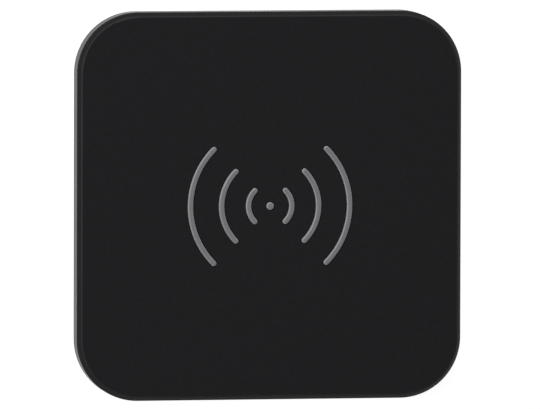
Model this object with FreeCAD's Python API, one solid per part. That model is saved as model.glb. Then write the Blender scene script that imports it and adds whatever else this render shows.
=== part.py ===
"""Square wireless charging pad, made of separate pieces.

The pad lies flat. +Z points up, out of the charging face, and z = 0 is the plane that its rubber
feet stand on. The origin is the centre of that plane. The USB-C socket is in the front wall, at -Y.
All sizes are in millimetres.
"""
import FreeCAD
import Part
import math
import os

V = FreeCAD.Vector
UP = V(0, 0, 1)

# ---- driving dimensions: the case ----
PAD_SIDE = 90.0
PAD_HEIGHT = 7.5             # to the charging face
CORNER_RADIUS = 14.2
FOOT_STANDOFF = 0.5          # how far the feet hold the shell off the table
FLOOR_THICKNESS = 1.2
SKIN_THICKNESS = 1.2         # the charging face
WALL_THICKNESS = 1.4
BEVEL_WIDTH = 0.95           # seen from above
BEVEL_DEPTH = 1.3            # down the side wall
BEVEL_UPPER_ROUND = 0.7      # where the bevel meets the charging face
BEVEL_LOWER_ROUND = 0.2      # where it meets the side wall
UNDERSIDE_ROUND = 0.7
SHADOW_GAP = 0.2             # rabbet along the parting line
LIP_CLEARANCE = 0.1
LIP_THICKNESS = 0.8
LIP_HEIGHT = 1.3
RIB_THICKNESS = 0.8
GUSSET_DEPTH = 1.8           # from the skin down, beside the screw bosses
ROOT = 0.2                   # how far ribs and bosses reach into the wall they grow from

# ---- the wave mark: a dot and three arcs on each side, as soft grip inlays ----
WAVE_RADII = {"inner": 5.07, "middle": 11.37, "outer": 18.65}
WAVE_HALF_ANGLE = 45.0       # from the mark's horizontal line to the centre of an arc's round end
WAVE_STROKE = 1.3
DOT_DIAMETER = 1.8
GRIP_POCKET_DEPTH = 0.6
GRIP_PROUD = 0.25
GRIP_ROUNDING = 0.4
GRIP_CLEARANCE = 0.15        # a fine dark gap around each inlay

# ---- feet, screws and bosses ----
CASE_SCREW_OFFSET = 34.5     # from the pad's centre lines
FOOT_RADIUS = 5.0
FOOT_RECESS_RADIUS = 5.15
FOOT_RECESS_DEPTH = 0.5
FOOT_ROUNDING = 0.2
LOWER_BOSS_RADIUS = 3.2
UPPER_BOSS_RADIUS = 2.7
BOSS_JOIN_Z = 3.6            # where the lower and upper bosses meet
CASE_SCREW = {"head_radius": 1.8, "head_height": 1.2, "crest_radius": 0.98, "core_radius": 0.72,
              "length": 3.5, "plain": 1.2, "pitch": 0.6}
BOARD_SCREW = {"head_radius": 1.6, "head_height": 0.9, "crest_radius": 0.83, "core_radius": 0.62,
               "length": 2.1, "plain": 0.9, "pitch": 0.4}
CASE_SCREW_HEAD_GAP = 0.2    # between a screw head and the foot that covers it
HEAD_CLEARANCE = 0.3         # around a case screw's head
SHANK_CLEARANCE = 0.15       # around a case screw's thread, in the bottom shell
PILOT_CLEARANCE = 0.02       # around a thread, in the boss it is driven into
PILOT_ROOF = 0.3             # left above a case screw's pilot hole
BOARD_PILOT_DEPTH = 1.3
BOARD_HOLE_CLEARANCE = 0.12
RECESS_ARM = 0.42            # width of the cross recess in a screw head

# ---- charging coil stack, from the skin down ----
COIL_ADHESIVE = 0.15
WIRE_DIAMETER = 1.12
COIL_TURNS = 10
COIL_PITCH = 1.16
COIL_FIRST_RADIUS = 10.81    # centre line of the innermost turn
BOND_TAPE = 0.1
FERRITE_THICKNESS = 1.0
FERRITE_SIDE = 50.0
FERRITE_CORNER_CUT = 6.0
LEAD_SLOT_WIDTH = 3.4        # through tape, ferrite and foam, for the coil's inner lead
COIL_RING_RADIUS = 23.2      # inside of the rib that locates the coil
COIL_RING_HEIGHT = 1.0
LEAD_OPENING_WIDTH = 12.0    # gap in the ring and the foam frame that both leads pass through
LEAD_OPENING_X = 1.5
JOINT_Y = -30.4              # where the leads are soldered to the board

# ---- temperature sensor under the middle of the charging face ----
BEAD_RADIUS = 0.9
BEAD_X = 0.7
THERMAL_PAD_SIDE = 6.0
THERMAL_PAD_THICKNESS = 0.4
SENSOR_WIRE_RADIUS = 0.25
SENSOR_WIRE_X = (0.35, 1.05)

# ---- circuit board ----
BOARD_THICKNESS = 1.0
BOARD_STANDOFF = 0.5
BOARD_FRONT_Y = -42.0
BOARD_FRONT_WIDTH = 60.0     # between the two front screw bosses
BOARD_SHOULDER_Y = -30.4     # where the board widens behind the bosses
BOARD_WIDTH = 76.0
BOARD_INNER_Y = -27.0        # front edge of the cut-out for the ferrite
BOARD_INNER_WIDTH = 54.4
BOARD_BACK_Y = -10.0
BOARD_CORNER = 0.6
BOARD_SCREW_PLACES = [(-33.5, -14.0), (33.5, -14.0), (-26.5, -38.5), (26.5, -38.5)]
LOCATING_PIN_PLACES = [(-33.5, -25.5), (33.5, -25.5)]
LOCATING_PIN_RADIUS = 0.7
LOCATING_PIN_HEIGHT = 1.9    # above the floor
BOARD_POST_RADIUS = 1.9

# ---- pieces on the board: places are their centres ----
CONTROLLER = {"places": [(-9.5, -33.0)], "side": 5.0, "height": 0.85, "leads": 8}
BRIDGES = {"places": [(9.5, -33.5), (14.5, -33.5)], "side": 3.3, "height": 0.95, "leads": 4}
CHIP_GAP = 0.05              # under a chip's body
CHIP_BEVEL = 0.08
PIN_ONE_RADIUS = 0.3
PIN_ONE_DEPTH = 0.1
PIN_ONE_INSET = 0.7
LEAD_LENGTH = 0.6
LEAD_SPREAD = 0.8            # of the chip's side, that its row of leads takes
LEAD_REACH = 0.2             # past the side of the chip
LEAD_HEIGHT = 0.2
TANK_PLACES = [(20.5 + 4.2 * column, -29.4 - 2.6 * row) for column in (0, 1) for row in (0, 1)]
TANK_CAPACITORS = {"places": TANK_PLACES, "width": 3.2, "depth": 1.6, "height": 1.4}
INPUT_CAPACITORS = {"places": [(-9.2, -38.2), (-9.2, -40.6), (18.2, -38.8)],
                    "width": 3.2, "depth": 1.6, "height": 1.2}
PASSIVE_PLACES = ([(-15.0 + 2.3 * index, -29.0) for index in range(5)]
                  + [(-15.0, -37.8 - 1.6 * index) for index in range(3)]
                  + [(side * 30.5, -13.5 - 1.7 * index) for side in (-1, 1) for index in range(4)]
                  + [(7.4 + 2.4 * index, -37.2) for index in range(3)])
PASSIVES = {"places": PASSIVE_PLACES, "width": 1.6, "depth": 0.8, "height": 0.5}
CAP_SHARE = 0.2              # of a part's width, at each end
CAP_PROUD = 0.03             # of the ceramic body
INDUCTOR_PLACE = (-22.0, -32.5)
INDUCTOR_WIDTH = 6.6
INDUCTOR_DEPTH = 6.4
INDUCTOR_HEIGHT = 2.5
INDUCTOR_CORNER = 0.6
INDUCTOR_GAP = 0.1           # under its body
INDUCTOR_TERMINAL = (0.8, 3.0, 1.2)

# ---- USB-C socket and indicator ----
PORT_Z = 4.0
PORT_WIDTH = 8.94            # receptacle shell, outside
PORT_HEIGHT = 3.16
PORT_LENGTH = 7.35
PORT_WALL = 0.3
PORT_CLEARANCE = 0.18        # between the shell and the hole in the wall
PORT_RECESS = 0.4            # mouth behind the wall's outer face
PORT_LEAD_IN = 0.25
TAB_SETBACKS = (3.3, 6.55)   # middles of the soldered tabs behind the shell's mouth
TAB_REACH = 1.45
TAB_LENGTH = 1.2
TAB_OVERLAP = 0.25           # of a tab inside the shell's width
CONTACT_PITCH = 0.5
CONTACT_WIDTH = 0.25
CONTACTS_PER_ROW = 12
CONTACT_LENGTH = 4.0
CONTACT_SETBACK = 3.6        # middle of the contacts behind the shell's mouth
CONTACT_THICKNESS = 0.05
TAIL_LENGTH = 1.0
TAIL_HEIGHT = 0.2
TONGUE_THICKNESS = 0.7
TONGUE_WIDTH = 6.69
TONGUE_SETBACK = 0.9         # tongue tip behind the shell's mouth
INSULATOR_DEPTH = 1.3
LIGHT_X = 12.0
LIGHT_WIDTH = 3.0
LIGHT_HEIGHT = 0.9
LIGHT_CLEARANCE = 0.05
LIGHT_FLANGE = (4.4, 0.6, 1.7)
LIGHT_STEM = (2.6, 1.2, 0.8)
LIGHT_OVERLAP = 0.1          # of the stem inside the flange
LED_SETBACK = 2.4            # middle of the LED behind the wall
LED_BODY = (3.2, 1.2, 1.3)
LED_HOLLOW = (2.2, 0.4, 0.7)

# ---- label ----
LABEL_WIDTH = 44.0
LABEL_DEPTH = 30.0
LABEL_CORNER = 1.5
LABEL_THICKNESS = 0.1
LABEL_RECESS = 0.15

# ---- levels worked out from the above ----
Z_UNDER = FOOT_STANDOFF
Z_FLOOR = Z_UNDER + FLOOR_THICKNESS
Z_SKIN = PAD_HEIGHT - SKIN_THICKNESS
Z_COIL_TOP = Z_SKIN - COIL_ADHESIVE
Z_COIL = Z_COIL_TOP - WIRE_DIAMETER / 2
Z_TAPE_TOP = Z_COIL_TOP - WIRE_DIAMETER
Z_FERRITE_TOP = Z_TAPE_TOP - BOND_TAPE
Z_FERRITE = Z_FERRITE_TOP - FERRITE_THICKNESS
Z_BOARD = Z_FLOOR + BOARD_STANDOFF
Z_BOARD_TOP = Z_BOARD + BOARD_THICKNESS
Z_BEAD = Z_SKIN - THERMAL_PAD_THICKNESS - BEAD_RADIUS
Z_LEAD_IN_SLOT = Z_FERRITE_TOP - WIRE_DIAMETER / 2
Z_LEAD_ON_BOARD = Z_BOARD_TOP + WIRE_DIAMETER / 2
Y_WALL_OUT = -PAD_SIDE / 2
Y_WALL_IN = Y_WALL_OUT + WALL_THICKNESS
Y_PORT = Y_WALL_OUT + PORT_RECESS
CORNERS = {"front_left": (-1, -1), "front_right": (1, -1), "back_left": (-1, 1), "back_right": (1, 1)}


# ---- small helpers ----

def line(start, end):
    return Part.LineSegment(start, end).toShape()


def arc(start, middle, end):
    return Part.Arc(start, middle, end).toShape()


def prism(edges, along):
    """Closed planar outline pushed along a vector."""
    return Part.Face(Part.Wire(edges)).extrude(along)


def block(x, y, z, width, depth, height):
    """Box centred on x and y, standing on z."""
    return Part.makeBox(width, depth, height, V(x - width / 2, y - depth / 2, z))


def disc(x, y, z, radius, height):
    return Part.makeCylinder(radius, height, V(x, y, z))


def rounded_block(width, depth, radius, z, height, x=0.0, y=0.0):
    """Box with round vertical corners."""
    half_x = width / 2 - radius
    half_y = depth / 2 - radius
    arcs = []
    for quarter, (side_x, side_y) in enumerate([(1, 1), (-1, 1), (-1, -1), (1, -1)]):
        centre = V(x + side_x * half_x, y + side_y * half_y, z)
        arcs.append(Part.makeCircle(radius, centre, UP, 90 * quarter, 90 * quarter + 90))
    edges = []
    for index, corner in enumerate(arcs):
        following = arcs[(index + 1) % 4]
        edges += [corner, line(corner.Vertexes[-1].Point, following.Vertexes[0].Point)]
    return prism(edges, V(0, 0, height))


def pad_block(inset, z, height):
    """The pad's own outline, moved in by inset."""
    side = PAD_SIDE - 2 * inset
    return rounded_block(side, side, CORNER_RADIUS - inset, z, height)


def slot_along_y(width, height, x, z, y, length):
    """Bar along +Y with a round-ended cross-section, wide along X."""
    radius = height / 2
    reach = width / 2 - radius
    left = x - reach
    right = x + reach
    edges = [line(V(left, y, z + radius), V(right, y, z + radius)),
             arc(V(right, y, z + radius), V(right + radius, y, z), V(right, y, z - radius)),
             line(V(right, y, z - radius), V(left, y, z - radius)),
             arc(V(left, y, z - radius), V(left - radius, y, z), V(left, y, z + radius))]
    return prism(edges, V(0, length, 0))


def level_edges(shape, z):
    """Edges that lie wholly at height z."""
    found = []
    for edge in shape.Edges:
        bounds = edge.BoundBox
        if abs(bounds.ZMin - z) < 1e-3 and abs(bounds.ZMax - z) < 1e-3:
            found.append(edge)
    return found


def wire_route(points, radius):
    """Round wire along straight runs, with a ball at each bend."""
    runs = []
    for start, end in zip(points, points[1:]):
        runs.append(Part.makeCylinder(radius, (end - start).Length, start, end - start))
    balls = [Part.makeSphere(radius, point) for point in points[1:-1]]
    return runs[0].multiFuse(runs[1:] + balls)


def around_corners(make):
    """One compound of what make(x, y) gives at each of the four case screws."""
    return Part.makeCompound([make(side_x * CASE_SCREW_OFFSET, side_y * CASE_SCREW_OFFSET)
                              for side_x, side_y in CORNERS.values()])


# ---- the case ----

def port_hole(grow, y, length):
    return slot_along_y(PORT_WIDTH + 2 * grow, PORT_HEIGHT + 2 * grow, 0, PORT_Z, y, length)


def top_cover_body():
    """Bevelled lid with its skirt, hollow, before pockets and openings."""
    height = PAD_HEIGHT - Z_FLOOR
    lid = pad_block(0, Z_FLOOR, height)
    rim = level_edges(lid, PAD_HEIGHT)
    lid = lid.makeChamfer(BEVEL_DEPTH, BEVEL_WIDTH, rim)
    lid = lid.makeFillet(BEVEL_LOWER_ROUND, level_edges(lid, PAD_HEIGHT - BEVEL_DEPTH))
    lid = lid.makeFillet(BEVEL_UPPER_ROUND, level_edges(lid, PAD_HEIGHT))
    return lid.cut(pad_block(WALL_THICKNESS, Z_FLOOR, Z_SKIN - Z_FLOOR))


def upper_boss(x, y):
    """Screw boss under the skin with two gussets to the walls."""
    height = Z_SKIN - BOSS_JOIN_Z
    boss = disc(x, y, BOSS_JOIN_Z, UPPER_BOSS_RADIUS, height)
    side_x = math.copysign(1, x)
    side_y = math.copysign(1, y)
    wall = PAD_SIDE / 2 - WALL_THICKNESS
    reach = wall - CASE_SCREW_OFFSET
    length = reach + ROOT
    z = Z_SKIN - GUSSET_DEPTH
    along_x = block(x + side_x * reach / 2, y, z, length, RIB_THICKNESS, GUSSET_DEPTH)
    along_y = block(x, y + side_y * reach / 2, z, RIB_THICKNESS, length, GUSSET_DEPTH)
    pilot = disc(x, y, BOSS_JOIN_Z, CASE_SCREW["crest_radius"] + PILOT_CLEARANCE, height - PILOT_ROOF)
    return boss.multiFuse([along_x, along_y]).cut(pilot)


def coil_ring():
    """Rib under the skin around the coil, open at the front for the leads."""
    z = Z_SKIN - COIL_RING_HEIGHT
    ring = disc(0, 0, z, COIL_RING_RADIUS + RIB_THICKNESS, COIL_RING_HEIGHT)
    ring = ring.cut(disc(0, 0, z, COIL_RING_RADIUS, COIL_RING_HEIGHT))
    return ring.cut(block(LEAD_OPENING_X, -COIL_RING_RADIUS, z, LEAD_OPENING_WIDTH, 8, COIL_RING_HEIGHT))


def top_cover():
    cover = top_cover_body()
    cover = cover.cut(port_hole(PORT_CLEARANCE, Y_WALL_OUT, WALL_THICKNESS))
    cover = cover.cut(port_lead_in())
    cover = cover.cut(slot_along_y(LIGHT_WIDTH, LIGHT_HEIGHT, LIGHT_X, PORT_Z, Y_WALL_OUT, WALL_THICKNESS))
    cover = cover.cut(Part.makeCompound([grip_shape(name, True) for name in grip_names()]))
    bosses = [upper_boss(side_x * CASE_SCREW_OFFSET, side_y * CASE_SCREW_OFFSET)
              for side_x, side_y in CORNERS.values()]
    return cover.multiFuse(bosses + [coil_ring()])


def port_lead_in():
    """Bevelled mouth of the socket's hole."""
    mouth = port_hole(PORT_CLEARANCE + PORT_LEAD_IN, Y_WALL_OUT, PORT_LEAD_IN)
    inner = [edge for edge in mouth.Edges if edge.BoundBox.YMin > Y_WALL_OUT + PORT_LEAD_IN - 1e-3]
    return mouth.makeChamfer(PORT_LEAD_IN * 0.98, inner)


def lower_boss(x, y):
    return disc(x, y, Z_FLOOR - ROOT, LOWER_BOSS_RADIUS, BOSS_JOIN_Z - Z_FLOOR + ROOT)


def lower_boss_hole(x, y):
    """Foot recess, screw head counterbore and clearance hole, from below."""
    foot = disc(x, y, Z_UNDER, FOOT_RECESS_RADIUS, FOOT_RECESS_DEPTH)
    seat = screw_seat_z()
    counterbore = disc(x, y, Z_UNDER, CASE_SCREW["head_radius"] + HEAD_CLEARANCE, seat - Z_UNDER)
    shank_radius = CASE_SCREW["crest_radius"] + SHANK_CLEARANCE
    clearance = disc(x, y, Z_UNDER, shank_radius, BOSS_JOIN_Z - Z_UNDER)
    return foot.multiFuse([counterbore, clearance])


def screw_seat_z():
    """Height of the face that the case screws' heads pull against."""
    return Z_UNDER + FOOT_RECESS_DEPTH + CASE_SCREW_HEAD_GAP + CASE_SCREW["head_height"]


def shell_lip():
    """Tongue that the lid's skirt slides over, open at the socket."""
    lip = pad_block(WALL_THICKNESS + LIP_CLEARANCE, Z_FLOOR, LIP_HEIGHT)
    lip = lip.cut(pad_block(WALL_THICKNESS + LIP_CLEARANCE + LIP_THICKNESS, Z_FLOOR, LIP_HEIGHT))
    return lip.cut(block(0, Y_WALL_IN, Z_FLOOR, PORT_WIDTH + 3, 4, LIP_HEIGHT))


def foam_frame():
    """Low square rib that keeps the foam and ferrite in place, open at the front."""
    inside = FERRITE_SIDE + 0.4
    height = Z_BOARD_TOP - Z_FLOOR
    outside = inside + 2 * RIB_THICKNESS
    frame = block(0, 0, Z_FLOOR, outside, outside, height)
    frame = frame.cut(block(0, 0, Z_FLOOR, inside, inside, height))
    return frame.cut(block(LEAD_OPENING_X, -inside / 2, Z_FLOOR, LEAD_OPENING_WIDTH, 4, height))


def bottom_shell():
    base = pad_block(0, Z_UNDER, FLOOR_THICKNESS)
    base = base.makeFillet(UNDERSIDE_ROUND, level_edges(base, Z_UNDER))
    rabbet = pad_block(-1, Z_FLOOR - SHADOW_GAP, SHADOW_GAP)
    rabbet = rabbet.cut(pad_block(SHADOW_GAP, Z_FLOOR - SHADOW_GAP, SHADOW_GAP))
    base = base.cut(rabbet)
    standoffs = [disc(x, y, Z_FLOOR - ROOT, BOARD_POST_RADIUS, BOARD_STANDOFF + ROOT)
                 for x, y in BOARD_SCREW_PLACES]
    pins = [disc(x, y, Z_FLOOR - ROOT, LOCATING_PIN_RADIUS, LOCATING_PIN_HEIGHT + ROOT)
            for x, y in LOCATING_PIN_PLACES]
    bosses = [lower_boss(side_x * CASE_SCREW_OFFSET, side_y * CASE_SCREW_OFFSET)
              for side_x, side_y in CORNERS.values()]
    shell = base.multiFuse([shell_lip(), foam_frame()] + standoffs + pins + bosses)
    pilot_radius = BOARD_SCREW["crest_radius"] + PILOT_CLEARANCE
    pilots = [disc(x, y, Z_BOARD - BOARD_PILOT_DEPTH, pilot_radius, BOARD_PILOT_DEPTH)
              for x, y in BOARD_SCREW_PLACES]
    shell = shell.cut(Part.makeCompound(pilots))
    shell = shell.cut(around_corners(lower_boss_hole))
    return shell.cut(rounded_block(LABEL_WIDTH + 0.4, LABEL_DEPTH + 0.4, LABEL_CORNER + 0.2,
                                   Z_UNDER, LABEL_RECESS))


# ---- soft grip inlays of the wave mark ----

def grip_names():
    names = ["grip_dot"]
    for ring in WAVE_RADII:
        names += ["grip_" + ring + "_left", "grip_" + ring + "_right"]
    return names


def arc_band(radius, width, middle_angle, z, height):
    """Upright band on a circle about the Z axis, with round ends."""
    half_width = width / 2
    start = math.radians(middle_angle - WAVE_HALF_ANGLE)
    end = math.radians(middle_angle + WAVE_HALF_ANGLE)
    middle = math.radians(middle_angle)

    def at(distance, angle, beyond=0.0):
        """Point on the band's own circle, pushed along the tangent by beyond."""
        return V(distance * math.cos(angle) - beyond * math.sin(angle),
                 distance * math.sin(angle) + beyond * math.cos(angle), z)

    far = radius + half_width
    near = radius - half_width
    edges = [arc(at(far, start), at(far, middle), at(far, end)),
             arc(at(far, end), at(radius, end, half_width), at(near, end)),
             arc(at(near, end), at(near, middle), at(near, start)),
             arc(at(near, start), at(radius, start, -half_width), at(far, start))]
    return prism(edges, V(0, 0, height))


def grip_shape(name, pocket):
    """One inlay, or the pocket that it sits in."""
    grow = GRIP_CLEARANCE if pocket else 0.0
    z = PAD_HEIGHT - GRIP_POCKET_DEPTH
    top = PAD_HEIGHT + GRIP_PROUD
    if name == "grip_dot":
        shape = disc(0, 0, z, DOT_DIAMETER / 2 + grow, top - z)
    else:
        ring, side = name.split("_")[1:]
        middle_angle = 0.0 if side == "right" else 180.0
        shape = arc_band(WAVE_RADII[ring], WAVE_STROKE + 2 * grow, middle_angle, z, top - z)
    if pocket:
        return shape
    return shape.makeFillet(GRIP_ROUNDING, level_edges(shape, top))


# ---- feet, label and screws ----

def foot(x, y):
    pad = disc(x, y, 0, FOOT_RADIUS, Z_UNDER + FOOT_RECESS_DEPTH)
    return pad.makeFillet(FOOT_ROUNDING, level_edges(pad, 0))


def rating_label():
    return rounded_block(LABEL_WIDTH, LABEL_DEPTH, LABEL_CORNER,
                         Z_UNDER + LABEL_RECESS - LABEL_THICKNESS, LABEL_THICKNESS)


def screw(size):
    """Self-tapping pan-head screw along +Z, its head's seat at z = 0."""
    head = size["head_height"]
    head_radius = size["head_radius"]
    core = size["core_radius"]
    points = [V(0, 0, -head), V(head_radius - 0.3, 0, -head), V(head_radius, 0, 0.3 - head),
              V(head_radius, 0, 0), V(core, 0, 0)]
    ridge_z = size["plain"]
    while ridge_z + size["pitch"] < size["length"] - 0.3:
        points += [V(core, 0, ridge_z), V(size["crest_radius"], 0, ridge_z + size["pitch"] * 0.35),
                   V(core, 0, ridge_z + size["pitch"] * 0.7)]
        ridge_z += size["pitch"]
    points += [V(core, 0, size["length"] - 0.4), V(0, 0, size["length"])]
    profile = Part.Face(Part.makePolygon(points + [points[0]]))
    body = profile.revolve(V(0, 0, 0), UP, 360)
    arm = head_radius * 1.2
    recess = block(0, 0, -head, arm, RECESS_ARM, head * 0.6)
    recess = recess.fuse(block(0, 0, -head, RECESS_ARM, arm, head * 0.6))
    return body.cut(recess)


def case_screw(x, y):
    """Screw that comes up from below, under a foot."""
    piece = screw(CASE_SCREW)
    piece.translate(V(x, y, screw_seat_z()))
    return piece


def board_screw(x, y):
    """Screw that goes down through the board."""
    piece = screw(BOARD_SCREW)
    piece.rotate(V(0, 0, 0), V(1, 0, 0), 180)
    piece.translate(V(x, y, Z_BOARD_TOP))
    return piece


def board_screws():
    return Part.makeCompound([board_screw(x, y) for x, y in BOARD_SCREW_PLACES])


# ---- coil stack ----

def coil_route():
    """Flat spiral of half circles, each pair's centres half a pitch apart, from the front outwards."""
    edges = []
    for half_turn in range(2 * COIL_TURNS):
        radius = COIL_FIRST_RADIUS + half_turn * COIL_PITCH / 2
        odd = half_turn % 2
        centre = V(0, -odd * COIL_PITCH / 2, Z_COIL)
        start = -90 + 180 * odd
        edges.append(Part.makeCircle(radius, centre, UP, start, start + 180))
    return Part.Wire(edges)


def inner_lead_points():
    """From the innermost turn down into the ferrite's slot and forward to the board."""
    start_y = -COIL_FIRST_RADIUS
    return [V(0, start_y, Z_COIL), V(-0.75, start_y + 0.35, Z_COIL - 0.15),
            V(-0.9, start_y + 1.0, Z_LEAD_IN_SLOT), V(-0.9, BOARD_INNER_Y + 1, Z_LEAD_IN_SLOT),
            V(-0.9, BOARD_INNER_Y - 1.5, Z_LEAD_ON_BOARD), V(-0.9, JOINT_Y, Z_LEAD_ON_BOARD)]


def outer_lead_points():
    """From the outermost turn over the ferrite's edge and down to the board."""
    start_y = -(COIL_FIRST_RADIUS + COIL_TURNS * COIL_PITCH)
    return [V(0, start_y, Z_COIL), V(2.0, start_y, Z_COIL), V(4.2, BOARD_INNER_Y + 1, Z_COIL),
            V(4.2, BOARD_INNER_Y - 2, Z_LEAD_ON_BOARD), V(4.2, JOINT_Y, Z_LEAD_ON_BOARD)]


def coil_winding():
    route = coil_route()
    start = V(0, -COIL_FIRST_RADIUS, Z_COIL)
    section = Part.Wire(Part.makeCircle(WIRE_DIAMETER / 2, start, V(1, 0, 0)))
    winding = route.makePipeShell([section], True, False)
    leads = [wire_route(inner_lead_points(), WIRE_DIAMETER / 2),
             wire_route(outer_lead_points(), WIRE_DIAMETER / 2)]
    return winding.multiFuse(leads)


def lead_slot(z, height):
    """Straight slot from just behind the centre out through the front edge."""
    half = LEAD_SLOT_WIDTH / 2
    slot = block(0, -20, z, LEAD_SLOT_WIDTH, 40, height)
    return slot.fuse(disc(0, 0, z, half, height))


def coil_disc(z, height):
    """Ring as wide as the winding."""
    outside = COIL_FIRST_RADIUS + (COIL_TURNS - 0.25) * COIL_PITCH + WIRE_DIAMETER / 2
    ring = disc(0, -COIL_PITCH / 4, z, outside, height)
    return ring.cut(disc(0, 0, z, COIL_FIRST_RADIUS - WIRE_DIAMETER / 2, height))


def coil_adhesive():
    return coil_disc(Z_COIL_TOP, COIL_ADHESIVE)


def coil_bond_tape():
    return coil_disc(Z_FERRITE_TOP, BOND_TAPE).cut(lead_slot(Z_FERRITE_TOP, BOND_TAPE))


def ferrite_plate():
    """Square plate with its corners cut off."""
    half = FERRITE_SIDE / 2
    cut = FERRITE_CORNER_CUT
    points = []
    for side_x, side_y in [(1, 1), (-1, 1), (-1, -1), (1, -1)]:
        near_y = V(side_x * half, side_y * (half - cut), Z_FERRITE)
        near_x = V(side_x * (half - cut), side_y * half, Z_FERRITE)
        points += [near_y, near_x] if side_x * side_y > 0 else [near_x, near_y]
    plate = Part.Face(Part.makePolygon(points + [points[0]])).extrude(V(0, 0, FERRITE_THICKNESS))
    return plate.cut(lead_slot(Z_FERRITE, FERRITE_THICKNESS))


def ferrite_foam_pad():
    height = Z_FERRITE - Z_FLOOR
    side = FERRITE_SIDE - 2
    pad = rounded_block(side, side, FERRITE_CORNER_CUT, Z_FLOOR, height)
    return pad.cut(lead_slot(Z_FLOOR, height))


# ---- temperature sensor ----

def thermal_pad():
    return rounded_block(THERMAL_PAD_SIDE, THERMAL_PAD_SIDE, 1, Z_SKIN - THERMAL_PAD_THICKNESS,
                         THERMAL_PAD_THICKNESS, BEAD_X)


def thermistor_bead():
    return Part.makeSphere(BEAD_RADIUS, V(BEAD_X, 0, Z_BEAD))


def thermistor_wires():
    """Two thin wires from the bead, along the ferrite's slot, to the board."""
    on_board_z = Z_BOARD_TOP + SENSOR_WIRE_RADIUS
    slot_z = Z_FERRITE_TOP - FERRITE_THICKNESS / 2
    wires = []
    for x in SENSOR_WIRE_X:
        points = [V(x, -0.3, Z_BEAD), V(x, -2.0, slot_z), V(x, BOARD_INNER_Y + 0.5, slot_z),
                  V(x, BOARD_INNER_Y - 1.5, on_board_z), V(x, JOINT_Y, on_board_z)]
        wires.append(wire_route(points, SENSOR_WIRE_RADIUS).cut(thermistor_bead()))
    return Part.makeCompound(wires)


def solder_dome(x, radius):
    dome = Part.makeSphere(radius, V(x, JOINT_Y, Z_BOARD_TOP))
    return dome.common(block(x, JOINT_Y, Z_BOARD_TOP, 2 * radius, 2 * radius, radius))


def solder_joints():
    """Domes of solder over the wire ends."""
    joints = [solder_dome(points[-1].x, 1.0) for points in (inner_lead_points(), outer_lead_points())]
    joints += [solder_dome(x, 0.33) for x in SENSOR_WIRE_X]
    wires = coil_winding().fuse(thermistor_wires())
    return Part.makeCompound([joint.cut(wires) for joint in joints])


# ---- circuit board and what is on it ----

def circuit_board():
    """U-shaped board around the front of the ferrite."""
    half_front = BOARD_FRONT_WIDTH / 2
    half_width = BOARD_WIDTH / 2
    half_inner = BOARD_INNER_WIDTH / 2
    right = [(half_front, BOARD_FRONT_Y), (half_front, BOARD_SHOULDER_Y), (half_width, BOARD_SHOULDER_Y),
             (half_width, BOARD_BACK_Y), (half_inner, BOARD_BACK_Y), (half_inner, BOARD_INNER_Y)]
    outline = right + [(-x, y) for x, y in reversed(right)]
    corners = [V(x, y, Z_BOARD) for x, y in outline + outline[:1]]
    board = Part.Face(Part.makePolygon(corners)).extrude(V(0, 0, BOARD_THICKNESS))
    upright = [edge for edge in board.Edges if edge.BoundBox.ZLength > BOARD_THICKNESS / 2]
    board = board.makeFillet(BOARD_CORNER, upright)
    screw_hole = BOARD_SCREW["crest_radius"] + BOARD_HOLE_CLEARANCE
    holes = [disc(x, y, Z_BOARD, screw_hole, BOARD_THICKNESS) for x, y in BOARD_SCREW_PLACES]
    holes += [disc(x, y, Z_BOARD, LOCATING_PIN_RADIUS + 0.08, BOARD_THICKNESS)
              for x, y in LOCATING_PIN_PLACES]
    notch_depth = Y_PORT + PORT_LENGTH + 0.15 - BOARD_FRONT_Y
    notch = block(0, BOARD_FRONT_Y, Z_BOARD, PORT_WIDTH + 0.3, 2 * notch_depth, BOARD_THICKNESS)
    return board.cut(Part.makeCompound(holes + [notch]))


def usb_c_shell():
    """Round-ended steel tube with four tabs soldered to the board."""
    shell = port_hole(0, Y_PORT, PORT_LENGTH)
    tab_x = PORT_WIDTH / 2 - TAB_OVERLAP + TAB_REACH / 2
    tabs = [block(side * tab_x, Y_PORT + setback, Z_BOARD_TOP, TAB_REACH, TAB_LENGTH, PORT_WALL)
            for side in (-1, 1) for setback in TAB_SETBACKS]
    return shell.multiFuse(tabs).cut(port_hole(-PORT_WALL, Y_PORT, PORT_LENGTH))


def usb_c_tongue():
    """Moulded tongue and the insulator block behind it."""
    rear = Y_PORT + PORT_LENGTH
    insulator = port_hole(-PORT_WALL, rear - INSULATOR_DEPTH, INSULATOR_DEPTH)
    tip = Y_PORT + TONGUE_SETBACK
    length = rear - INSULATOR_DEPTH - tip
    underside = PORT_Z - TONGUE_THICKNESS / 2
    tongue = block(0, tip + length / 2, underside, TONGUE_WIDTH, length, TONGUE_THICKNESS)
    return insulator.fuse(tongue)


def usb_c_contacts():
    """Two rows of contacts on the tongue and their tails on the board."""
    y = Y_PORT + CONTACT_SETBACK
    tail_y = Y_PORT + PORT_LENGTH + TAIL_LENGTH / 2
    size = (CONTACT_WIDTH, CONTACT_LENGTH, CONTACT_THICKNESS)
    faces = (PORT_Z + TONGUE_THICKNESS / 2, PORT_Z - TONGUE_THICKNESS / 2 - CONTACT_THICKNESS)
    pieces = []
    for index in range(CONTACTS_PER_ROW):
        x = (index - (CONTACTS_PER_ROW - 1) / 2) * CONTACT_PITCH
        pieces += [block(x, y, z, *size) for z in faces]
        pieces.append(block(x, tail_y, Z_BOARD_TOP, CONTACT_WIDTH, TAIL_LENGTH, TAIL_HEIGHT))
    return Part.makeCompound(pieces)


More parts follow.
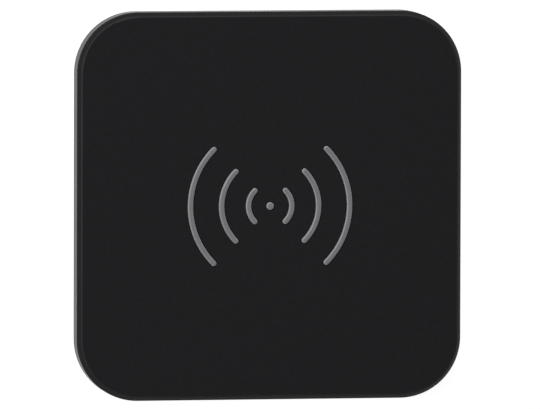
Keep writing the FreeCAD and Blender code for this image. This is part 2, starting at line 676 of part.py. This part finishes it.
def light_pipe():
    """Clear bar in the wall, with a flange behind it and a stem to the LED."""
    bar = slot_along_y(LIGHT_WIDTH - 2 * LIGHT_CLEARANCE, LIGHT_HEIGHT - 2 * LIGHT_CLEARANCE,
                       LIGHT_X, PORT_Z, Y_WALL_OUT, WALL_THICKNESS)
    flange_depth, flange_height = LIGHT_FLANGE[1:]
    stem_depth, stem_height = LIGHT_STEM[1:]
    stem_y = Y_WALL_IN + flange_depth - LIGHT_OVERLAP + stem_depth / 2
    flange = block(LIGHT_X, Y_WALL_IN + flange_depth / 2, PORT_Z - flange_height / 2, *LIGHT_FLANGE)
    stem = block(LIGHT_X, stem_y, PORT_Z - stem_height / 2, *LIGHT_STEM)
    return bar.multiFuse([flange, stem])


def indicator_led():
    """Side-facing LED with a hollow in its front."""
    y = Y_WALL_IN + LED_SETBACK
    body = block(LIGHT_X, y, Z_BOARD_TOP, *LED_BODY)
    hollow_y = y - (LED_BODY[1] - LED_HOLLOW[1] / 2) / 2
    rim = (LED_BODY[2] - LED_HOLLOW[2]) / 2
    return body.cut(block(LIGHT_X, hollow_y, Z_BOARD_TOP + rim, *LED_HOLLOW))


def chip_leads(chip):
    """Flat leads along the left and right sides of each square chip."""
    pitch = chip["side"] * LEAD_SPREAD / chip["leads"]
    middle = chip["side"] / 2 + LEAD_REACH - LEAD_LENGTH / 2
    leads = []
    for x, y in chip["places"]:
        for index in range(chip["leads"]):
            lead_y = y + (index - (chip["leads"] - 1) / 2) * pitch
            leads += [block(x + side * middle, lead_y, Z_BOARD_TOP, LEAD_LENGTH, pitch / 2, LEAD_HEIGHT)
                      for side in (-1, 1)]
    return leads


def square_chips(chip):
    """Chip bodies with bevelled tops and pin-one dimples, seated on their leads."""
    side = chip["side"]
    top = Z_BOARD_TOP + CHIP_GAP + chip["height"]
    offset = side / 2 - PIN_ONE_INSET
    bodies = []
    for x, y in chip["places"]:
        body = block(x, y, Z_BOARD_TOP + CHIP_GAP, side, side, chip["height"])
        body = body.makeChamfer(CHIP_BEVEL, level_edges(body, top))
        dimple = disc(x - offset, y + offset, top - PIN_ONE_DEPTH, PIN_ONE_RADIUS, PIN_ONE_DEPTH)
        bodies.append(body.cut(dimple))
    return Part.makeCompound(bodies).cut(Part.makeCompound(chip_leads(chip)))


def controller_ic():
    return square_chips(CONTROLLER)


def bridge_mosfets():
    return square_chips(BRIDGES)


def row_bodies(row):
    """Ceramic bodies of small parts, between their end caps."""
    length = row["width"] * (1 - 2 * CAP_SHARE)
    depth = row["depth"] - 2 * CAP_PROUD
    height = row["height"] - CAP_PROUD
    return Part.makeCompound([block(x, y, Z_BOARD_TOP, length, depth, height) for x, y in row["places"]])


def row_caps(row):
    """End caps of small parts, slightly proud of the bodies."""
    cap = row["width"] * CAP_SHARE
    reach = (row["width"] - cap) / 2
    return [block(x + side * reach, y, Z_BOARD_TOP, cap, row["depth"], row["height"])
            for x, y in row["places"] for side in (-1, 1)]


def tank_capacitors():
    return row_bodies(TANK_CAPACITORS)


def input_capacitors():
    return row_bodies(INPUT_CAPACITORS)


def chip_passives():
    """Small resistors and capacitors, on the arms and around the controller."""
    return row_bodies(PASSIVES)


def inductor_terminals():
    x, y = INDUCTOR_PLACE
    return [block(x + side * INDUCTOR_WIDTH / 2, y, Z_BOARD_TOP, *INDUCTOR_TERMINAL) for side in (-1, 1)]


def power_inductor():
    """Moulded choke, notched for the two terminals that wrap under it."""
    x, y = INDUCTOR_PLACE
    body = rounded_block(INDUCTOR_WIDTH, INDUCTOR_DEPTH, INDUCTOR_CORNER,
                         Z_BOARD_TOP + INDUCTOR_GAP, INDUCTOR_HEIGHT, x, y)
    return body.cut(Part.makeCompound(inductor_terminals()))


def component_terminals():
    """Tinned leads and end caps of the pieces on the board."""
    terminals = inductor_terminals()
    for chip in (CONTROLLER, BRIDGES):
        terminals += chip_leads(chip)
    for row in (TANK_CAPACITORS, INPUT_CAPACITORS, PASSIVES):
        terminals += row_caps(row)
    return Part.makeCompound(terminals)


def all_parts():
    """Every node's name and shape."""
    parts = {"top_cover": top_cover(), "bottom_shell": bottom_shell()}
    for name in grip_names():
        parts[name] = grip_shape(name, False)
    for name, (side_x, side_y) in CORNERS.items():
        parts["foot_" + name] = foot(side_x * CASE_SCREW_OFFSET, side_y * CASE_SCREW_OFFSET)
    parts["case_screws"] = around_corners(case_screw)
    makers = [board_screws, rating_label, light_pipe, indicator_led, circuit_board, usb_c_shell,
              usb_c_tongue, usb_c_contacts, controller_ic, bridge_mosfets, tank_capacitors,
              input_capacitors, power_inductor, chip_passives, component_terminals, coil_winding,
              coil_adhesive, coil_bond_tape, ferrite_plate, ferrite_foam_pad, thermistor_bead,
              thermistor_wires, thermal_pad, solder_joints]
    for make in makers:
        parts[make.__name__] = make()
    return parts


os.makedirs("parts", exist_ok=True)
for node, shape in all_parts().items():
    shape.exportStep("parts/" + node + ".step")
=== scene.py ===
"""Looks, light and camera for the square wireless charging pad. Lengths are in metres."""

import math

import bpy
from mathutils import Matrix, Vector


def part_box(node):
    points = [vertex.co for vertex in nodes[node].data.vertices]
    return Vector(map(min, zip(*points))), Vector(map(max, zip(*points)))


MM = 0.001

# ---- camera ----
LENS = 800.0                 # millimetres
SENSOR = 36.0
FRAME_WIDTH = 124.9 * MM     # seen at the charging face
LEAN_LEFT = 9.3              # degrees from the face's normal towards -X
LEAN_BACK = 4.3              # degrees from the face's normal towards +Y
ROLL = 0.15                  # degrees
AIM = Vector((-0.06 * MM, 0.37 * MM, 0))    # from the middle of the grips' tops
CLIP_END = 100               # metres

# ---- floor and light ----
FLOOR_HALF = 4.0             # metres
FLOOR_DROP = 0.02 * MM       # below the feet, so that the two don't share a plane
FLOOR_GLOW = 0.92
WORLD_COLOUR = (0.985, 0.99, 1.0, 1)
WORLD_STRENGTH = 0.3
KEY_PLACE = (-0.56, 0.56, 1.0)
KEY_SIZE = (2.2, 0.5)
KEY_POWER = 22               # watts

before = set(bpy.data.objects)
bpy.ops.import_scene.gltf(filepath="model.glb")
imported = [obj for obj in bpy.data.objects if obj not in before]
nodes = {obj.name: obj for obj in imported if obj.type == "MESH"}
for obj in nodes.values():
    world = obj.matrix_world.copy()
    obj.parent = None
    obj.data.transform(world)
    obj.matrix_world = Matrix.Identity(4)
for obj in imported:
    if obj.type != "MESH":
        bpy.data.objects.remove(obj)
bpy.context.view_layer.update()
pad_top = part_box("top_cover")[1][2]


# ---- material helpers ----

class Finish:
    """A material with one Principled shader, and short calls for the nodes that feed it."""

    def __init__(self, name, metallic=0.0, specular=0.5):
        self.material = bpy.data.materials.new(name)
        self.material.use_nodes = True
        self.tree = self.material.node_tree
        self.shader = self.tree.nodes["Principled BSDF"]
        self.set("Metallic", metallic)
        self.set("Specular IOR Level", specular)
        self.set("IOR", 1.5)
        coordinates = self.tree.nodes.new("ShaderNodeTexCoord")
        self.place = coordinates.outputs["Object"]
        self.bump = None

    def set(self, socket, value):
        self.shader.inputs[socket].default_value = value

    def feed(self, socket, output):
        self.tree.links.new(output, self.shader.inputs[socket])

    def node(self, kind, inputs=None, **settings):
        made = self.tree.nodes.new(kind)
        for name, value in settings.items():
            setattr(made, name, value)
        for name, value in (inputs or {}).items():
            if isinstance(value, bpy.types.NodeSocket):
                self.tree.links.new(value, made.inputs[name])
            else:
                made.inputs[name].default_value = value
        return made

    def noise(self, size, detail=3.0, rough=0.5, place=None):
        """Noise whose features are about size across."""
        made = self.node("ShaderNodeTexNoise", {"Vector": place or self.place, "Scale": 1 / size,
                                                "Detail": detail, "Roughness": rough})
        return made.outputs["Fac"]

    def cells(self, size):
        """Distance to the nearest of cell centres about size apart."""
        made = self.node("ShaderNodeTexVoronoi", {"Vector": self.place, "Scale": 1 / size})
        return made.outputs["Distance"]

    def ramp(self, value, low, high, out_low=0.0, out_high=1.0):
        made = self.node("ShaderNodeMapRange", {"Value": value, "From Min": low, "From Max": high,
                                                "To Min": out_low, "To Max": out_high})
        return made.outputs["Result"]

    def math(self, operation, first, second=0.0):
        return self.node("ShaderNodeMath", {0: first, 1: second}, operation=operation).outputs[0]

    def blend(self, factor, first, second):
        """Colour between first and second."""
        made = self.node("ShaderNodeMix", data_type="RGBA")
        for index, value in ((0, factor), (6, first), (7, second)):
            if isinstance(value, bpy.types.NodeSocket):
                self.tree.links.new(value, made.inputs[index])
            elif index:
                made.inputs[index].default_value = (*value, 1)
            else:
                made.inputs[index].default_value = value
        return made.outputs[2]

    def stretch(self, x=1.0, y=1.0, z=1.0):
        """Object coordinates scaled along each axis, for streaks."""
        return self.node("ShaderNodeMapping", {"Vector": self.place, "Scale": (x, y, z)}).outputs["Vector"]

    def mixed(self, first, share, second):
        """Two values added, the first in the given share and the second in the rest."""
        rest = self.math("MULTIPLY", second, 1 - share)
        return self.math("ADD", self.math("MULTIPLY", first, share), rest)

    def axis(self, letter):
        return self.node("ShaderNodeSeparateXYZ", {"Vector": self.place}).outputs[letter]

    def upward(self):
        """1 where the surface faces straight up, 0 where it is upright."""
        normal = self.node("ShaderNodeNewGeometry").outputs["Normal"]
        return self.node("ShaderNodeSeparateXYZ", {"Vector": normal}).outputs["Z"]

    def relief(self, height, depth):
        """Adds bump of a real depth, on top of any bump already there."""
        settings = {"Height": height, "Distance": depth}
        if self.bump:
            settings["Normal"] = self.bump
        self.bump = self.node("ShaderNodeBump", settings).outputs["Normal"]
        self.feed("Normal", self.bump)


def dress(material, *names):
    """Puts one material in every slot of these CAD nodes."""
    for name in names:
        piece = nodes[name]
        if not piece.material_slots:
            piece.data.materials.append(material)
        for slot in piece.material_slots:
            slot.link = "OBJECT"
            slot.material = material


def names_starting(prefix):
    return [name for name in nodes if name.startswith(prefix)]


# ---- the case ----

PAINTED_HIGHLIGHT_BLACK = (0.028, 0.028, 0.030)    # painted highlight along the rounded edge between face and bevel
PAINTED_HIGHLIGHT_GREY = (0.25, 0.247, 0.258)        # painted highlight on the rounded edges of the grips


def soft_black(name, dark, light, grain_size, grain_depth):
    """Matt black plastic with a spark-eroded grain, faint handling marks and a painted highlight along the
    rounded edge between face and bevel.
    """
    finish = Finish(name, specular=0.035)
    grain = finish.cells(grain_size)
    pits = finish.noise(grain_size * 0.6, 2.0)
    mottle = finish.noise(1.1 * MM, 3.0)
    marks = finish.noise(14 * MM, 2.0, 0.4)
    tone = finish.mixed(grain, 0.45, mottle)
    plain = finish.blend(finish.ramp(tone, 0.25, 0.7), dark, light)
    # Where the face rounds over into the bevel the colour is lighter: a painted highlight, its strength
    # varied by the handling-mark noise.
    upward = finish.upward()
    off_bevel = finish.ramp(upward, 0.64, 0.78)
    off_face = finish.ramp(upward, 0.995, 0.93)
    rounding = finish.math("MULTIPLY", off_bevel, off_face)
    painted_highlight = finish.math("MULTIPLY", rounding, finish.ramp(marks, 0.3, 0.7, 0.5, 0.9))
    finish.feed("Base Color", finish.blend(painted_highlight, plain, PAINTED_HIGHLIGHT_BLACK))
    handled = finish.ramp(marks, 0.3, 0.7, 0.28, 0.31)
    pitted = finish.ramp(pits, 0.3, 0.7, -0.02, 0.03)
    finish.feed("Roughness", finish.math("ADD", handled, pitted))
    finish.relief(grain, grain_depth)
    finish.relief(pits, grain_depth * 0.5)
    return finish.material


def grip_silicone():
    finish = Finish("grip_silicone", specular=0.35)
    speckle = finish.noise(0.25 * MM, 3.0)
    cloud = finish.noise(3 * MM, 2.0)
    tone = finish.mixed(speckle, 0.5, cloud)
    plain = finish.blend(finish.ramp(tone, 0.3, 0.7), (0.132, 0.130, 0.137), (0.152, 0.150, 0.158))
    # Lighter colour where the grips' edges round over: a painted highlight.
    rounding = finish.ramp(finish.upward(), 0.99, 0.85)
    finish.feed("Base Color", finish.blend(rounding, plain, PAINTED_HIGHLIGHT_GREY))
    finish.feed("Roughness", finish.ramp(speckle, 0.3, 0.7, 0.5, 0.62))
    finish.relief(finish.noise(0.12 * MM, 2.0), 0.01 * MM)
    finish.set("Sheen Weight", 0.08)
    finish.set("Sheen Roughness", 0.5)
    return finish.material


def foot_rubber():
    finish = Finish("foot_rubber", specular=0.3)
    grain = finish.noise(0.2 * MM, 3.0)
    dust = finish.noise(1.6 * MM, 4.0, 0.6)
    dusty = finish.ramp(dust, 0.45, 0.75)
    finish.feed("Base Color", finish.blend(dusty, (0.020, 0.020, 0.021), (0.05, 0.05, 0.048)))
    finish.feed("Roughness", finish.ramp(grain, 0.3, 0.7, 0.72, 0.85))
    finish.relief(grain, 0.02 * MM)
    return finish.material


def main_case():
    cover = soft_black("cover_soft_touch", (0.0112, 0.0111, 0.0121), (0.0142, 0.0141, 0.0153),
                       0.16 * MM, 0.006 * MM)
    shell = soft_black("shell_grained", (0.010, 0.010, 0.0104), (0.016, 0.016, 0.0165),
                       0.28 * MM, 0.014 * MM)
    dress(cover, "top_cover")
    dress(shell, "bottom_shell")
    dress(grip_silicone(), *names_starting("grip_"))
    dress(foot_rubber(), *names_starting("foot_"))


# ---- metal, plastic and board pieces ----

LABEL_BORDER = 1.6 * MM      # from the label's edge to the middle of its border line
LABEL_LINE = 0.35 * MM       # width of that line


def metal(name, dark, light, roughness, streaks=(1, 1, 1), size=0.15 * MM):
    """Metal with fine drawn or brushed streaks and small stains."""
    finish = Finish(name, metallic=1.0)
    streak = finish.noise(size, 3.0, 0.6, finish.stretch(*streaks))
    stain = finish.noise(2 * MM, 3.0)
    tone = finish.mixed(streak, 0.6, stain)
    finish.feed("Base Color", finish.blend(finish.ramp(tone, 0.3, 0.7), dark, light))
    finish.feed("Roughness", finish.ramp(streak, 0.3, 0.7, roughness - 0.06, roughness + 0.08))
    finish.relief(streak, 0.003 * MM)
    return finish.material


def moulded(name, dark, light, roughness, grain):
    """Moulded plastic, epoxy, ceramic or film: a fine grain, a cloudy tone and a faint relief."""
    finish = Finish(name)
    fine = finish.noise(grain, 3.0)
    cloud = finish.noise(grain * 12, 3.0)
    tone = finish.mixed(fine, 0.5, cloud)
    finish.feed("Base Color", finish.blend(finish.ramp(tone, 0.3, 0.7), dark, light))
    finish.feed("Roughness", finish.ramp(fine, 0.3, 0.7, roughness - 0.05, roughness + 0.07))
    finish.relief(fine, grain * 0.06)
    return finish


def clear_acrylic():
    finish = Finish("clear_acrylic")
    haze = finish.noise(0.8 * MM, 2.0)
    finish.feed("Base Color", finish.blend(haze, (0.86, 0.89, 0.90), (0.93, 0.95, 0.96)))
    finish.feed("Roughness", finish.ramp(haze, 0.3, 0.7, 0.06, 0.22))
    finish.set("Transmission Weight", 0.85)
    finish.relief(haze, 0.004 * MM)
    return finish.material


def label_film():
    """Blank satin film with a thin lighter border line."""
    finish = moulded("label_film", (0.050, 0.050, 0.052), (0.062, 0.062, 0.065), 0.38, 0.1 * MM)
    low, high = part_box("rating_label")
    distances = []
    for letter, index in (("X", 0), ("Y", 1)):
        middle = (low[index] + high[index]) / 2
        half = (high[index] - low[index]) / 2 - LABEL_BORDER
        offset = finish.math("ABSOLUTE", finish.math("SUBTRACT", finish.axis(letter), middle))
        distances.append(finish.math("SUBTRACT", offset, half))
    outline = finish.math("ABSOLUTE", finish.math("MAXIMUM", *distances))
    on_line = finish.ramp(outline, LABEL_LINE * 0.4, LABEL_LINE * 0.6, 1.0, 0.0)
    plain = finish.shader.inputs["Base Color"].links[0].from_socket
    finish.feed("Base Color", finish.blend(on_line, plain, (0.22, 0.22, 0.225)))
    return finish.material


def solder_mask():
    """Green mask over copper tracks, which show as lighter raised lines."""
    finish = Finish("solder_mask")
    settings = {"Vector": finish.place, "Scale": 1 / (1.6 * MM), "Mortar Size": 0.06, "Brick Width": 1.9,
                "Row Height": 0.5}
    on_track = finish.node("ShaderNodeTexBrick", settings).outputs["Fac"]
    cloud = finish.noise(2.4 * MM, 3.0)
    green = finish.blend(cloud, (0.010, 0.060, 0.026), (0.014, 0.078, 0.034))
    finish.feed("Base Color", finish.blend(on_track, green, (0.03, 0.14, 0.055)))
    finish.feed("Roughness", finish.ramp(cloud, 0.3, 0.7, 0.24, 0.34))
    finish.relief(on_track, 0.03 * MM)
    return finish.material


def litz_wire():
    """Enamelled copper strands laid side by side, twisted slowly along the wire."""
    finish = Finish("litz_wire", metallic=0.85)
    settings = {"Vector": finish.place, "Scale": 1 / (0.9 * MM), "Distortion": 3.0, "Detail": 2.0,
                "Detail Scale": 1.5}
    wave = finish.node("ShaderNodeTexWave", settings, wave_type="BANDS", bands_direction="DIAGONAL")
    strands = wave.outputs["Fac"]
    tone = finish.noise(0.5 * MM, 3.0)
    copper = finish.ramp(finish.mixed(strands, 0.6, tone), 0.2, 0.8)
    finish.feed("Base Color", finish.blend(copper, (0.42, 0.17, 0.07), (0.78, 0.40, 0.20)))
    finish.feed("Roughness", finish.ramp(tone, 0.3, 0.7, 0.32, 0.46))
    finish.relief(strands, 0.03 * MM)
    return finish.material


def open_foam():
    finish = Finish("open_foam", specular=0.2)
    cell = finish.cells(0.45 * MM)
    # Darker towards the cell centres: painted shade in the pores.
    painted_pore_shade = finish.ramp(cell, 0.1, 0.6)
    finish.feed("Base Color", finish.blend(painted_pore_shade, (0.016, 0.016, 0.018), (0.06, 0.06, 0.064)))
    finish.feed("Roughness", finish.ramp(cell, 0.1, 0.6, 0.8, 0.95))
    finish.relief(cell, 0.12 * MM)
    return finish.material


def small_pieces():
    dress(metal("zinc_plate", (0.50, 0.50, 0.47), (0.66, 0.66, 0.63), 0.34), "case_screws", "board_screws")
    dress(metal("drawn_steel", (0.42, 0.42, 0.43), (0.60, 0.60, 0.61), 0.30, (1, 0.12, 1)), "usb_c_shell")
    dress(metal("gold_plate", (0.70, 0.50, 0.20), (0.88, 0.68, 0.34), 0.24, (1, 0.3, 1), 0.08 * MM),
          "usb_c_contacts")
    dress(metal("solder_tin", (0.55, 0.55, 0.56), (0.74, 0.74, 0.74), 0.30, (1, 1, 1), 0.3 * MM),
          "solder_joints", "component_terminals")
    dress(moulded("socket_insulator", (0.010, 0.010, 0.010), (0.016, 0.016, 0.016), 0.45, 0.09 * MM).material,
          "usb_c_tongue")
    dress(moulded("chip_epoxy", (0.016, 0.016, 0.017), (0.030, 0.030, 0.031), 0.52, 0.08 * MM).material,
          "controller_ic", "bridge_mosfets", "power_inductor")
    dress(moulded("capacitor_tan", (0.34, 0.24, 0.15), (0.46, 0.34, 0.22), 0.42, 0.25 * MM).material,
          "tank_capacitors", "input_capacitors")
    dress(moulded("passive_grey", (0.035, 0.035, 0.037), (0.07, 0.07, 0.072), 0.45, 0.15 * MM).material,
          "chip_passives")
    dress(moulded("adhesive_film", (0.62, 0.56, 0.40), (0.74, 0.69, 0.54), 0.30, 0.2 * MM).material,
          "coil_adhesive", "coil_bond_tape")
    dress(moulded("ferrite_ceramic", (0.026, 0.026, 0.029), (0.045, 0.045, 0.050), 0.58, 0.1 * MM).material,
          "ferrite_plate")
    dress(moulded("sensor_epoxy", (0.010, 0.010, 0.012), (0.018, 0.018, 0.022), 0.20, 0.2 * MM).material,
          "thermistor_bead")
    dress(moulded("sensor_wire", (0.70, 0.68, 0.60), (0.82, 0.80, 0.74), 0.38, 0.2 * MM).material,
          "thermistor_wires")
    dress(moulded("thermal_silicone", (0.38, 0.46, 0.55), (0.46, 0.55, 0.64), 0.62, 0.15 * MM).material,
          "thermal_pad")
    dress(moulded("led_package", (0.78, 0.77, 0.72), (0.88, 0.87, 0.83), 0.40, 0.1 * MM).material,
          "indicator_led")
    dress(clear_acrylic(), "light_pipe")
    dress(label_film(), "rating_label")
    dress(solder_mask(), "circuit_board")
    dress(litz_wire(), "coil_winding")
    dress(open_foam(), "ferrite_foam_pad")


# ---- floor, light and camera ----

def pale_floor():
    mesh = bpy.data.meshes.new("floor")
    corners = [(side_x * FLOOR_HALF, side_y * FLOOR_HALF, -FLOOR_DROP)
               for side_x, side_y in ((-1, -1), (1, -1), (1, 1), (-1, 1))]
    mesh.from_pydata(corners, [], [(0, 1, 2, 3)])
    floor = bpy.data.objects.new("floor", mesh)
    bpy.context.scene.collection.objects.link(floor)
    finish = Finish("floor_card", specular=0.1)
    paper = finish.noise(0.6 * MM, 3.0)
    finish.feed("Base Color", finish.blend(paper, (0.24, 0.24, 0.24), (0.26, 0.26, 0.26)))
    finish.feed("Roughness", finish.ramp(paper, 0.3, 0.7, 0.85, 0.95))
    finish.set("Emission Color", (1, 1, 1, 1))
    finish.set("Emission Strength", FLOOR_GLOW)
    floor.data.materials.append(finish.material)


def key_light():
    """Broad soft light from the back left, aimed at the middle of the floor."""
    light = bpy.data.lights.new("key", "AREA")
    light.shape = "RECTANGLE"
    light.size, light.size_y = KEY_SIZE
    light.energy = KEY_POWER
    lamp = bpy.data.objects.new("key", light)
    lamp.location = KEY_PLACE
    lamp.rotation_euler = (-Vector(KEY_PLACE)).to_track_quat("-Z", "Y").to_euler()
    bpy.context.scene.collection.objects.link(lamp)


def surroundings():
    """Even white light from all around."""
    world = bpy.data.worlds.new("studio")
    bpy.context.scene.world = world
    world.use_nodes = True
    background = world.node_tree.nodes["Background"]
    background.inputs["Color"].default_value = WORLD_COLOUR
    background.inputs["Strength"].default_value = WORLD_STRENGTH


def camera():
    data = bpy.data.cameras.new("camera")
    data.lens = LENS
    data.sensor_width = SENSOR
    data.clip_end = CLIP_END
    eye = bpy.data.objects.new("camera", data)
    bpy.context.scene.collection.objects.link(eye)
    bpy.context.scene.camera = eye
    target = Vector((0, 0, pad_top)) + AIM
    left = math.radians(LEAN_LEFT)
    back = math.radians(LEAN_BACK)
    away = Vector((-math.tan(left), math.tan(back), 1)).normalized()
    distance = FRAME_WIDTH * LENS / SENSOR
    eye.location = target + away * distance
    data.clip_start = distance / 20
    right = Vector((0, 1, 0)).cross(away).normalized()
    up = away.cross(right)
    roll = math.radians(ROLL)
    turned_right = right * math.cos(roll) + up * math.sin(roll)
    turned_up = away.cross(turned_right)
    eye.rotation_euler = Matrix((turned_right, turned_up, away)).transposed().to_euler()


main_case()
small_pieces()
pale_floor()
surroundings()
key_light()
camera()
bpy.context.scene.view_settings.view_transform = "Standard"
